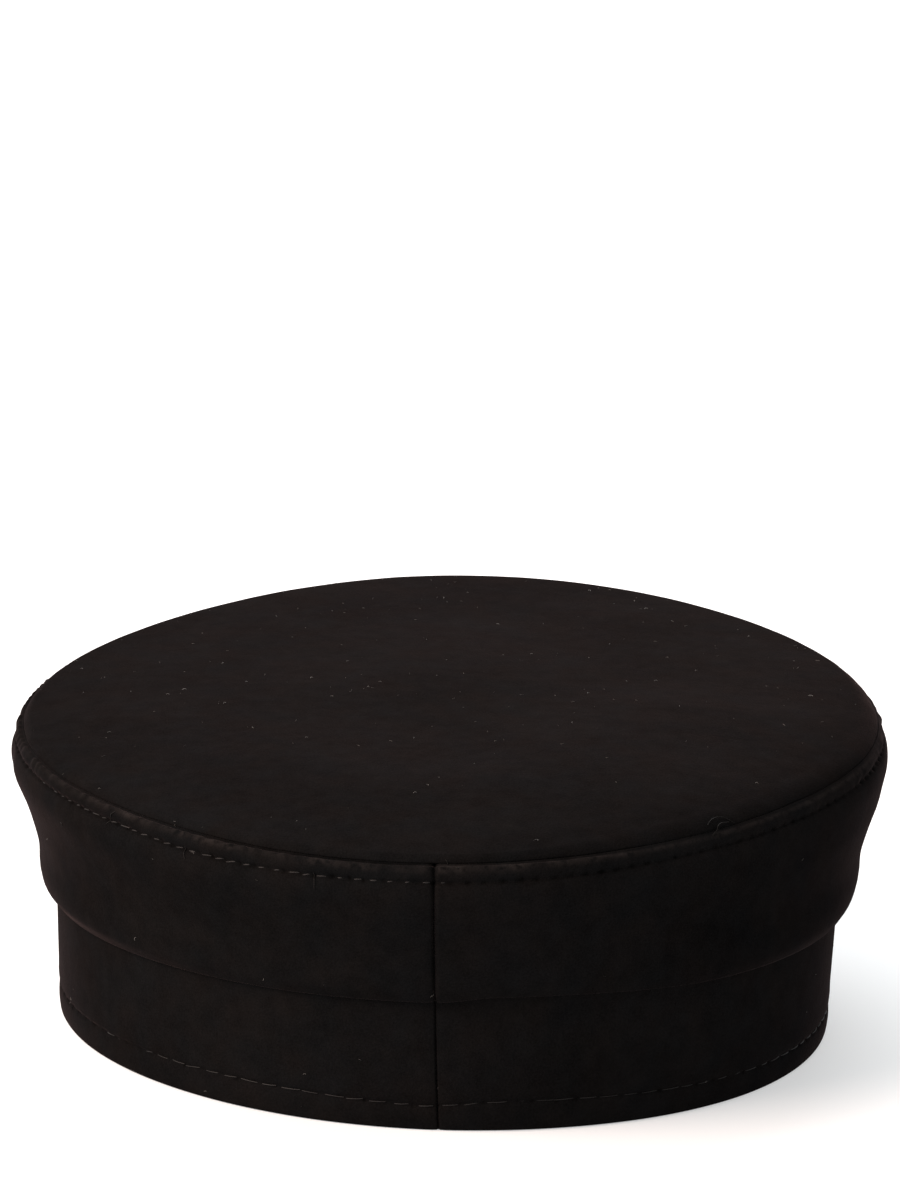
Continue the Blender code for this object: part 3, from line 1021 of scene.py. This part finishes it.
def grow(name, tree, values):
    """Runs a geometry tree with named values, and keeps its result as a plain mesh."""
    host = add_object(name, bpy.data.meshes.new(name))
    modifier = host.modifiers.new("maker", "NODES")
    modifier.node_group = tree
    for item in tree.interface.items_tree:
        if item.in_out == "INPUT" and item.name in values:
            modifier[item.identifier] = values[item.name]
    graph = bpy.context.evaluated_depsgraph_get()
    grown = host.evaluated_get(graph)
    mesh = bpy.data.meshes.new_from_object(grown, preserve_all_data_layers=True, depsgraph=graph)
    host.modifiers.clear()
    host.data = mesh
    mesh.name = name
    return host


# %% Band: the tree
OBJECT = "NodeSocketObject"
MATERIAL = "NodeSocketMaterial"
BAND_INPUTS = {
    "Path": OBJECT,
    "Section": OBJECT,
    "Columns": 800,
    "Rows": 60,
    "Crowding": 0.85,
    "Seam lean": 2 * MM,
    "Seam depth": 1.0 * MM,
    "Seam width": 0.22 * MM,
    "Stitch row": BAND_ROW,
    "Stitches": 100,
    "Stitch pull": 0.2 * MM,
    "Waviness": 0.25 * MM,
    "Seed": 4.0,
    "Cloth": MATERIAL,
}


def make_band_tree():
    """A section carried around a path, with a back seam, a stitched groove and soft waves."""
    maker, given, result = mesh_group("band along a path", BAND_INPUTS)
    size = {"Size X": 1.0, "Size Y": 1.0}
    size["Vertices X"] = given["Columns"] + 1
    size["Vertices Y"] = given["Rows"] + 1
    flat = maker.wire("GeometryNodeMeshGrid", size)
    grid_x, grid_y, _ = maker.split(maker.place())
    even = grid_x + 0.5
    share = even - maker.sum("SINE", even * (2 * pi)) * (given["Crowding"] / (2 * pi))

    # The row's place on the section
    row = maker.sum("MODULO", maker.sum("ROUND", (grid_y + 0.5) * given["Rows"]), given["Rows"])
    section_mesh = maker.shape(given["Section"])

    def sampled(value, kind):
        """What the section keeps at the row."""
        values = {"Geometry": section_mesh, "Value": value, "Index": row}
        return maker.wire("GeometryNodeSampleIndex", values, data_type=kind)

    out, _, height = maker.split(sampled(maker.place(), "FLOAT_VECTOR"))
    outer = sampled(maker.named("outer"), "FLOAT")

    # The column's place on the path, which leans with the back seam
    curve = maker.curve(given["Path"])
    curve = maker.wire("GeometryNodeSetCurveNormal", {0: curve}, mode="Z_UP")
    length = maker.wire("GeometryNodeCurveLength", {0: curve})
    upright = 1.0 - height / SEAM_TOP
    lean = upright * upright * given["Seam lean"]
    values = {"Curves": curve, "Factor": maker.sum("FRACT", share + lean / length)}
    on_path = maker.wires(maker.node("GeometryNodeSampleCurve", values, mode="FACTOR"))
    values["Value"] = maker.named("lift")
    raised = maker.wire("GeometryNodeSampleCurve", values, mode="FACTOR", data_type="FLOAT")

    # Dips in the outer face: the seam's groove, its soft shoulder, and the pull of each stitch
    along = share * length
    from_seam = maker.sum("MINIMUM", along, length - along)
    groove = maker.bell(from_seam, 0.0, given["Seam width"]) * given["Seam depth"]
    shoulder = maker.bell(from_seam, 0.0, 1.1 * MM) * (given["Seam depth"] * 0.2)
    beat = maker.sum("COSINE", share * given["Stitches"] * (2 * pi)) * 0.5 + 0.5
    pull = beat * maker.bell(height, given["Stitch row"], 0.7 * MM) * given["Stitch pull"]
    dip = groove + shoulder + pull

    # Soft waves, which push both faces of the wall together
    level = height + raised * maker.bell(height, given["Stitch row"], 3.2 * MM)
    values = {0: on_path["Position"], 1: maker.vector(z=level)}
    place = maker.wire("ShaderNodeVectorMath", values, operation="ADD")
    values = {"Vector": place, "W": given["Seed"], "Scale": 19.0, "Detail": 2.0}
    noise = maker.wire("ShaderNodeTexNoise", values, noise_dimensions="4D")
    wavy = (noise - 0.5) * (given["Waviness"] * 2.0)
    move = maker.scaled(on_path["Normal"], out - dip * outer + wavy)
    final = maker.wire("ShaderNodeVectorMath", {0: place, 1: move}, operation="ADD")

    values = {"Geometry": flat, "Name": "cloth", "Value": maker.vector(along, height)}
    settings = {"data_type": "FLOAT2", "domain": "CORNER"}
    mapped = maker.wire("GeometryNodeStoreNamedAttribute", values, **settings)
    moved = maker.wire("GeometryNodeSetPosition", {"Geometry": mapped, "Position": final})
    values = {"Geometry": moved, "Distance": 0.005 * MM}
    closed = maker.wire("GeometryNodeMergeByDistance", values)
    return maker.put_out(result, closed, given["Cloth"])


# %% Band: run the tree and keep a plain mesh
band_values = {
    "Path": band_path,
    "Section": band_line,
    "Columns": 860,
    "Rows": len(section),
    "Crowding": 0.86,
    "Seam lean": radians(SEAM_LEAN) * BAND_WIDTH / 2,
    "Seam depth": 0.95 * MM,
    "Seam width": 0.2 * MM,
    "Stitch row": BAND_ROW,
    "Stitches": band_stitches,
    "Stitch pull": 0.16 * MM,
    "Waviness": 0.3 * MM,
    "Seed": 4.0,
    "Cloth": cloth_material("band_nap", (BAND_ROW, band_length / band_stitches)),
}
band = grow("band_cloth", make_band_tree(), band_values)
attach(band, "root")
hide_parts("band")
print("band faces:", len(band.data.polygons))

# %% [markdown]
# ## Peak
#
# The photograph hides the peak, so it is finished plainly: two covers, turned at their edge, with
# one row of stitches; the stiffener between them is not built. Each cover is a strip of sections
# that go out from the band and back. The row of sections crowds towards the two horns, where the
# peak runs out fast.


# %% Peak: one cover
def peak_reach(across):
    """How far the peak stands out from the band, from its middle (0) to its horns (-1 and 1)."""
    return mix(PEAK_END, PEAK_REACH, (1 - across**2) ** PEAK_FULLNESS)


def peak_point(across, reached, height):
    """Points of the peak, at a share of its reach and a height over its lowest face."""
    turn = FRONT + PEAK_SPREAD * across
    aim = np.radians(FRONT + PEAK_SPREAD * across / 2)
    root_x, root_y = oval(turn, -RIM_TAPER + 0.05 * MM, 0.0)
    x = root_x + reached * peak_reach(across) * np.cos(aim)
    y = root_y + reached * peak_reach(across) * np.sin(aim)
    edge = PEAK_ARCH * (1 - np.minimum(1.0, np.abs(across) / PEAK_ARCH_SPAN) ** 2)
    z = GAP + height + mix(front_rise(turn), edge, np.clip(reached, 0, 1))
    return stacked(x, y, z)


# Shares of the reach at which the outer face and the hidden face have a row
OUTER_SHARES = np.array([[0, 0.003, 0.04, 0.1, 0.18, 0.28, 0.4, 0.52, 0.64, 0.75, 0.84, 0.91, 0.96]])
HIDDEN_SHARES = np.array([[0.97, 0.9, 0.7, 0.45, 0.2, 0.0]])


def peak_cover(name, upper):
    """One cover of the peak, whose edge is turned towards the other cover."""
    across = -np.cos(np.linspace(0, pi, 181))[:, None]
    bend = np.radians(np.linspace(0, 90, 9))[None, :]
    roll = np.minimum(1.5 * MM, 0.6 * peak_reach(across)) / peak_reach(across)
    turned_edge = 1 - roll + roll * np.sin(bend)
    bulged = np.concatenate((OUTER_SHARES * (1 - roll), turned_edge), axis=1)
    closing = np.concatenate((np.ones_like(OUTER_SHARES), 0.12 + 0.88 * np.cos(bend)), axis=1)
    seam = (PEAK_COVER + GAP) if upper else PEAK_COVER
    side = 1.0 if upper else -1.0
    curved = peak_point(across, bulged, seam + side * closing * PEAK_COVER)
    plain = peak_point(across, HIDDEN_SHARES * np.ones_like(across), seam)
    grid = np.concatenate((curved, plain), axis=1)
    if upper:
        grid = grid[::-1]
    columns, rows = grid.shape[:2]
    along = np.linspace(0, 0.2, columns)[:, None]
    mesh = grid_mesh(name, grid, along, np.linspace(0, 0.1, rows + 1)[None, :], around=False)
    close_rings(mesh, (range(rows), range((columns - 1) * rows, columns * rows)[::-1]))
    return mesh


for node_name, upper in (("peak_top", True), ("peak_under", False)):
    cover = add_piece(f"{node_name}_cloth", peak_cover(f"{node_name}_cloth", upper))
    cover.data.materials.append(cloth_material(f"{node_name}_nap"))
    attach(cover, "root")
    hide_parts(node_name)
    print(node_name, "faces:", len(cover.data.polygons))

# %% [markdown]
# ## Stitches
#
# Topstitching is one thread in short even dashes: about 3.5 mm apart under the tip, and 5 mm
# apart above the rim. Hundreds of dashes along a seam are a job for Geometry Nodes: one bent
# piece of thread is put on evenly spaced points of a line, turned along the seam and out from the
# cloth, with a little unevenness. Drawing them in the material would leave them flat.

# %% Stitches: the tree
STITCH_INPUTS = {
    "Path": OBJECT,
    "Stitches": 100,
    "Stitch length": 2 * MM,
    "Thread radius": 0.2 * MM,
    "Dive": 0.3 * MM,
    "Slant": 0.05,
    "Unevenness": 0.1,
    "Jitter": 0.2 * MM,
    "Sink": 0.05 * MM,
    "Seed": 1,
    "Thread": MATERIAL,
}


def make_stitch_tree():
    """Bent pieces of thread, spread evenly along a line that knows which way is out."""
    maker, given, result = mesh_group("stitches on a line", STITCH_INPUTS)
    values = {"Curve": maker.curve(given["Path"]), "Count": given["Stitches"]}
    spread = maker.wire("GeometryNodeResampleCurve", values, mode="COUNT")
    values = {"Primary Axis": maker.named("out", "FLOAT_VECTOR")}
    values["Secondary Axis"] = maker.wire("GeometryNodeInputTangent")
    settings = {"primary_axis": "Z", "secondary_axis": "X"}
    lie = maker.wire("FunctionNodeAxesToRotation", values, **settings)

    def chance(low, high, number):
        """A random number for each stitch."""
        return maker.random(given["Seed"] + number, low, high)

    swing = given["Slant"] + chance(-1.0, 1.0, 1) * given["Unevenness"]
    longer = maker.named("extra") + 1.0 + chance(-2.0, 2.0, 2) * given["Unevenness"]
    thicker = chance(0.8, 1.15, 3)
    middle = maker.vector(z=given["Dive"])
    half = given["Stitch length"] * 0.5
    thread = maker.bow(half, middle, given["Dive"] * -1.0, 7, given["Thread radius"], 7)
    values = {
        "Points": spread,
        "Instance": thread,
        "Rotation": maker.turned(lie, swing),
        "Scale": maker.vector(longer, thicker, thicker),
    }
    placed = maker.wire("GeometryNodeInstanceOnPoints", values)
    shift = chance(-1.0, 1.0, 4) * given["Jitter"]
    depth = chance(-1.0, 0.0, 5) * given["Sink"]
    values = {"Instances": placed, "Translation": maker.vector(shift, z=depth), "Local Space": True}
    moved = maker.wire("GeometryNodeTranslateInstances", values)
    return maker.put_out(result, moved, given["Thread"])


stitch_tree = make_stitch_tree()
print("stitch tree nodes:", len(stitch_tree.nodes))

# %% [markdown]
# ## Thread material
#
# The thread is the cloth's black, but hard twisted and a little glossy, so it catches the light
# where the nap swallows it. Fine noise along the thread gives it its twist. Towards the left, the
# side the key light comes from, its colour is painted paler as a painted highlight, and the loose
# ends are duller than the stitches.


# %% Thread material
def thread_material(name, thread_color, gloss):
    """Dark polished sewing thread."""
    material, maker, inputs, place = new_material(name)
    twist = maker.noise(place, 4500.0, 1.0)
    # Painted highlight: the colour is paler towards +X, the side the key light comes from
    painted_lit_side = maker.split(place)[0].clipped(20.0, 0.9) * 0.5 + 0.5
    bump = {"Height": twist, "Strength": 0.5, "Distance": 0.05 * MM}
    values = {
        "Base Color": maker.scaled(thread_color, (twist * 0.6 + 0.7) * painted_lit_side),
        "Roughness": twist * 0.2 + 0.3,
        "Normal": maker.wire("ShaderNodeBump", bump),
        "Specular IOR Level": gloss,
    }
    maker.feed(inputs, values)
    return material


thread = thread_material("sewing_thread", (0.019, 0.0176, 0.0172), gloss=0.08)
dull_thread = thread_material("loose_thread", (0.012, 0.011, 0.0105), gloss=0.03)

# %% Stitches: the row under the tip
LINE_POINTS = 1400
row_at = np.argmin(np.abs(drop[0] - row_drop))
row_cosine = cosine[:, 0]
# How far out from the cloth the thread lies, in millimetres
sunk = mix(-0.2, 0.05, ease(row_cosine, -0.12, 0.0)) + 0.07 * (1 - ease(row_cosine, -0.97, -0.9))
sunk = sunk + 0.06 * hump(row_cosine, -0.22, 0.12) - 0.12 * ease(row_cosine, 0.75, 0.98)
row_out = side_facing[:, row_at]
row_points = side_outer[:, row_at] + row_out * sunk[:, None] * MM
row_extra = 0.35 * ease(row_cosine, 0.15, 0.5) * (1 - ease(row_cosine, 0.85, 0.97))
row_extra = row_extra - 0.35 * hump(np.abs(from_seam[:, 0]), 0, 6)


def around_row(points):
    """Values at even lengths around the row, which passes flat over the back seam."""
    wanted = np.linspace(0, seam_length, LINE_POINTS, endpoint=False) + top_pitch / 2
    flat = np.abs(from_seam[:, 0]) > 1.3
    columns = [np.interp(wanted, side_along[flat], c[flat], period=seam_length) for c in points.T]
    return np.stack(columns, axis=1)


top_extra = around_row(row_extra[:, None])[:, 0]
top_points = around_row(row_points) + HEAD_MIDDLE
top_line = line_mesh("top_line", top_points, True, out=around_row(row_out), extra=top_extra)
values = {
    "Path": top_line,
    "Stitches": top_stitches,
    "Stitch length": 1.95 * MM,
    "Thread radius": 0.16 * MM,
    "Dive": 0.3 * MM,
    "Slant": 0.14,
    "Unevenness": 0.13,
    "Jitter": 0.25 * MM,
    "Sink": 0.1 * MM,
    "Seed": 21,
    "Thread": thread,
}
top_thread = grow("top_stitches", stitch_tree, values)
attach(top_thread, "root")
print("stitches under the tip:", top_stitches)

# %% Stitches: the row above the rim
rim_starts = np.linspace(0, band_length, 1500, endpoint=False) + band_length / band_stitches / 2
rim_turns = turn_at(rim_starts, 0, 0)
rim_turns = rim_turns + seam_lean(BAND_ROW)
rim_cosine = np.cos(np.radians(rim_turns))
# How deep the thread lies in the groove, in millimetres
rim_sunk = mix(0.09, 0.03, ease(rim_cosine, -0.15, 0.05))
for depth, low, high in ((0.15, 0.55, 0.85), (0.2, 0.83, 0.93), (0.04, 0, -0.2), (0.03, -0.5, -0.8)):
    rim_sunk = rim_sunk + depth * ease(rim_cosine, low, high)
rim_place = oval(rim_turns, band_taper(BAND_ROW) - rim_sunk * MM, 0)
rim_points = stacked(*rim_place, front_rise(rim_turns) + BAND_ROW + row_lift(rim_turns)) + HEAD_MIDDLE
ahead_x, ahead_y = oval(rim_turns + 0.1, 0, 0)
here_x, here_y = oval(rim_turns, 0, 0)
rim_out = stacked(ahead_y - here_y, here_x - ahead_x, 0)
rim_out = rim_out / np.linalg.norm(rim_out, axis=1, keepdims=True)
rim_line = line_mesh("rim_line", rim_points, True, out=rim_out)
values = {
    "Path": rim_line,
    "Stitches": band_stitches,
    "Stitch length": 3.6 * MM,
    "Thread radius": 0.1 * MM,
    "Dive": 0.22 * MM,
    "Slant": 0.05,
    "Unevenness": 0.1,
    "Jitter": 0.35 * MM,
    "Sink": 0.12 * MM,
    "Seed": 22,
    "Thread": thread,
}
rim_thread = grow("rim_stitches", stitch_tree, values)
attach(rim_thread, "root")
print("stitches above the rim:", band_stitches)

# %% Stitches: the row at the peak's edge
PEAK_MARGIN = 4.5 * MM
PEAK_PITCH = 3.6 * MM
across = np.linspace(-0.9, 0.9, 400)
share = 1 - PEAK_MARGIN / peak_reach(across)
kept = share > 0.1
edge_points = peak_point(across[kept], share[kept], 2 * PEAK_COVER + GAP) + HEAD_MIDDLE
edge_length = np.linalg.norm(np.diff(edge_points, axis=0), axis=1).sum()
edge_out = np.tile((0.0, 0.0, 1.0), (len(edge_points), 1))
peak_line = line_mesh("peak_line", edge_points, False, out=edge_out)
values = {
    "Path": peak_line,
    "Stitches": round(edge_length / PEAK_PITCH),
    "Stitch length": 2.1 * MM,
    "Thread radius": 0.17 * MM,
    "Dive": 0.25 * MM,
    "Slant": 0.05,
    "Unevenness": 0.06,
    "Jitter": 0.1 * MM,
    "Sink": 0.03 * MM,
    "Seed": 23,
    "Thread": thread,
}
peak_thread = grow("peak_stitches", stitch_tree, values)
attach(peak_thread, "root")
print("stitches on the peak:", values["Stitches"])

# %% [markdown]
# ## Lint and loose threads
#
# Black nap shows every speck of lint. The photograph shows dozens of pale fibres, most of them
# on the tip, and a few loose ends of thread by the seams. Painted on in the material they would
# be flat, so Geometry Nodes strew short bent fibres over each piece, only on faces that look
# away from the hat's middle, in patches, and more of them to one side.

# %% Lint: the tree
LINT_INPUTS = {
    "Cloth": OBJECT,
    "Fibres per square metre": 3000.0,
    "Middle": (0.0, 0.0, 0.0),
    "Drift": (0.0, 0.0, 0.0),
    "Highest": 1.0,
    "Fibre length": 0.8 * MM,
    "Fibre radius": 0.04 * MM,
    "Seed": 1,
    "Lint": MATERIAL,
}


def make_lint_tree():
    """Bent fibres strewn over the outside of a piece of cloth."""
    maker, given, result = mesh_group("lint on cloth", LINT_INPUTS)
    place = maker.place()
    values = {0: place, 1: given["Middle"]}
    from_middle = maker.wire("ShaderNodeVectorMath", values, operation="SUBTRACT")

    def outward_by(direction):
        """How far each point is from the middle in a direction."""
        values = {0: from_middle, 1: direction}
        return maker.wire("ShaderNodeVectorMath", values, "Value", operation="DOT_PRODUCT")

    density = given["Fibres per square metre"]
    normal = maker.wire("GeometryNodeInputNormal")
    density = density * maker.sum("GREATER_THAN", outward_by(normal), 0.01)
    density = density * maker.sum("LESS_THAN", maker.split(place)[2], given["Highest"])
    density = density * maker.noise(place, 40.0, 1.0).clipped(4.0, -1.3)
    density = density * outward_by(given["Drift"]).clipped(1.0, 0.6)
    values = {"Mesh": maker.shape(given["Cloth"]), "Density": density, "Seed": given["Seed"]}
    strewn = maker.wires(maker.node("GeometryNodeDistributePointsOnFaces", values))

    half = given["Fibre length"] * 0.5
    middle = maker.vector(half * 0.3, half, half * 0.7)
    turn = maker.random(given["Seed"] + 1, 0.0, 2 * pi)
    size = maker.random(given["Seed"] + 2, 0.35, 1.0)
    size = size * size * 1.6
    values = {
        "Points": strewn["Points"],
        "Instance": maker.bow(half, middle, 0.0, 4, given["Fibre radius"], 3),
        "Rotation": maker.turned(strewn["Rotation"], turn),
        "Scale": maker.vector(size, size, 1.0),
    }
    placed = maker.wire("GeometryNodeInstanceOnPoints", values)
    return maker.put_out(result, placed, given["Lint"])


lint_tree = make_lint_tree()
print("lint tree nodes:", len(lint_tree.nodes))

# %% Lint: its material
GREY_FIBRE = (0.012, 0.011, 0.0105, 1)
PALE_FIBRE = (0.16, 0.148, 0.136, 1)
lint, maker, inputs, place = new_material("lint")
tone = maker.noise(place, 700.0, 1.0)
color = maker.blend(tone.clipped(2.5, -0.75), GREY_FIBRE, PALE_FIBRE)
maker.feed(inputs, {"Base Color": color, "Roughness": tone.clipped(0.3, 0.5)})

# %% Lint: strewn over the tip, the side wall and the band
hat_middle = (0.0, HEAD_MIDDLE_Y, -0.02)
for cloth, density, drift, highest, seed in (
    (tip, 19000.0, (2.0, -5.0, 0.0), 1.0, 8),
    (side_wall, 3600.0, (2.0, 0.0, 0.0), 1.0, 6),
    (band, 4200.0, (2.0, 0.0, 0.0), BAND_SHOWN - 2 * MM, 7),
):
    values = {
        "Cloth": cloth,
        "Fibres per square metre": density,
        "Middle": hat_middle,
        "Drift": drift,
        "Highest": highest,
        "Fibre length": 0.65 * MM,
        "Fibre radius": 0.035 * MM,
        "Seed": seed,
        "Lint": lint,
    }
    name = cloth.name.replace("_cloth", "_lint")
    strewn = grow(name, lint_tree, values)
    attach(strewn, "root")
    print(name, "faces:", len(strewn.data.polygons))

# %% Loose threads: where they lie
# Points in millimetres: along the tip's seam from the back seam, down from it (below zero: in over
# the tip), and clear of the cloth
LONG_END = ((62.5, -1.0, 0.15), (64.1, -1.9, 0.4), (65.8, -2.1, 0.5))
LONG_END = LONG_END + ((67.4, -1.7, 0.4), (68.3, -1.0, 0.3), (69.6, -0.1, 0.1))
LOOSE_THREADS = (
    LONG_END,
    ((68.2, -0.5, 0.25), (65.8, -0.6, 0.4), (64.1, 0.1, 0.45), (62.6, 1.2, 0.1)),
    ((-55.9, 3.3, 0.05), (-55.8, 4.5, 0.25), (-55.1, 5.7, 0.1)),
    ((-24.9, 3.5, 0.05), (-24.4, 4.8, 0.3), (-24.3, 6.3, 0.1)),
    ((-77.6, 1.7, 0.05), (-78.3, 2.4, 0.2), (-78.9, 3.1, 0.05)),
    ((-78.9, 3.4, 0.05), (-79.4, 4.2, 0.2), (-80.0, 4.9, 0.05)),
    ((-98.2, 10.1, 0.0), (-98.0, 10.7, 0.1), (-98.0, 11.3, 0.0)),
    ((-37.4, 6.2, 0.0), (-37.1, 6.4, 0.1), (-36.8, 6.3, 0.0)),
    ((4.3, 1.3, 0.05), (4.6, 1.5, 0.15), (5.0, 1.4, 0.05)),
    ((2.2, -0.3, 0.05), (2.5, -0.1, 0.15), (2.8, 0.1, 0.05)),
    ((36.9, 29.3, 0.0), (37.1, 29.5, 0.1), (37.5, 29.6, 0.0)),
)


def between(grid, column, row):
    """A point of a grid at a column and a row that needn't be whole."""
    left, top = int(column), int(row)
    right, bottom = (left + 1) % len(grid), min(top + 1, grid.shape[1] - 1)
    upper = mix(grid[left % len(grid), top], grid[right, top], column - left)
    lower = mix(grid[left % len(grid), bottom], grid[right, bottom], column - left)
    return mix(upper, lower, row - top)


def over_cloth(along, down, clear):
    """A point a little clear of the side wall or of the tip, from lengths in millimetres."""
    place = along * MM % seam_length
    if down >= 0:
        column = np.interp(place, side_along, np.arange(len(side_along)))
        row = np.interp(down, drop[int(column)], np.arange(drop.shape[1]))
        return between(side_outer, column, row) + between(side_facing, column, row) * clear * MM
    column = place / seam_length * TIP_COLUMNS
    first = under_in.shape[1] + len(TUCK_IN)
    row = first + np.interp(-down * MM, inward[int(column), first:], np.arange(inward.shape[1] - first))
    point = between(tip_grid, column, row)
    return point + np.array((point[0], point[1], 0.12)) / 0.17 * clear * MM


def strand(places):
    """A smooth line of points over the cloth."""
    steps = np.arange(len(places))
    fine = np.linspace(0, len(places) - 1, 5 * len(places))
    smoothed = [smooth_curve(fine, steps, values) for values in zip(*places)]
    return np.array([over_cloth(*place) for place in zip(*smoothed)]) + HEAD_MIDDLE


# %% Loose threads: the tree and the mesh
def make_strand_tree():
    """A round thread along lines."""
    inputs = {"Path": OBJECT, "Thread radius": 0.1 * MM, "Thread": MATERIAL}
    maker, given, result = mesh_group("thread along lines", inputs)
    tube = maker.tube(maker.curve(given["Path"]), given["Thread radius"], 6)
    return maker.put_out(result, tube, given["Thread"])


strands = [strand(places) for places in LOOSE_THREADS]
joined = np.concatenate(strands)
ends = np.cumsum([len(points) for points in strands])
strand_mesh = bpy.data.meshes.new("loose_lines")
edges = [(i, i + 1) for i in range(len(joined) - 1) if i + 1 not in ends]
strand_mesh.from_pydata(joined, edges, [])
strand_line = add_object("loose_lines", strand_mesh)
values = {"Path": strand_line, "Thread radius": 0.08 * MM, "Thread": dull_thread}
loose = grow("loose_threads", make_strand_tree(), values)
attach(loose, "root")
print("loose threads:", len(strands))

# %% Put the lines away
for line in (band_path, band_line, top_line, rim_line, peak_line, strand_line):
    bpy.data.objects.remove(line)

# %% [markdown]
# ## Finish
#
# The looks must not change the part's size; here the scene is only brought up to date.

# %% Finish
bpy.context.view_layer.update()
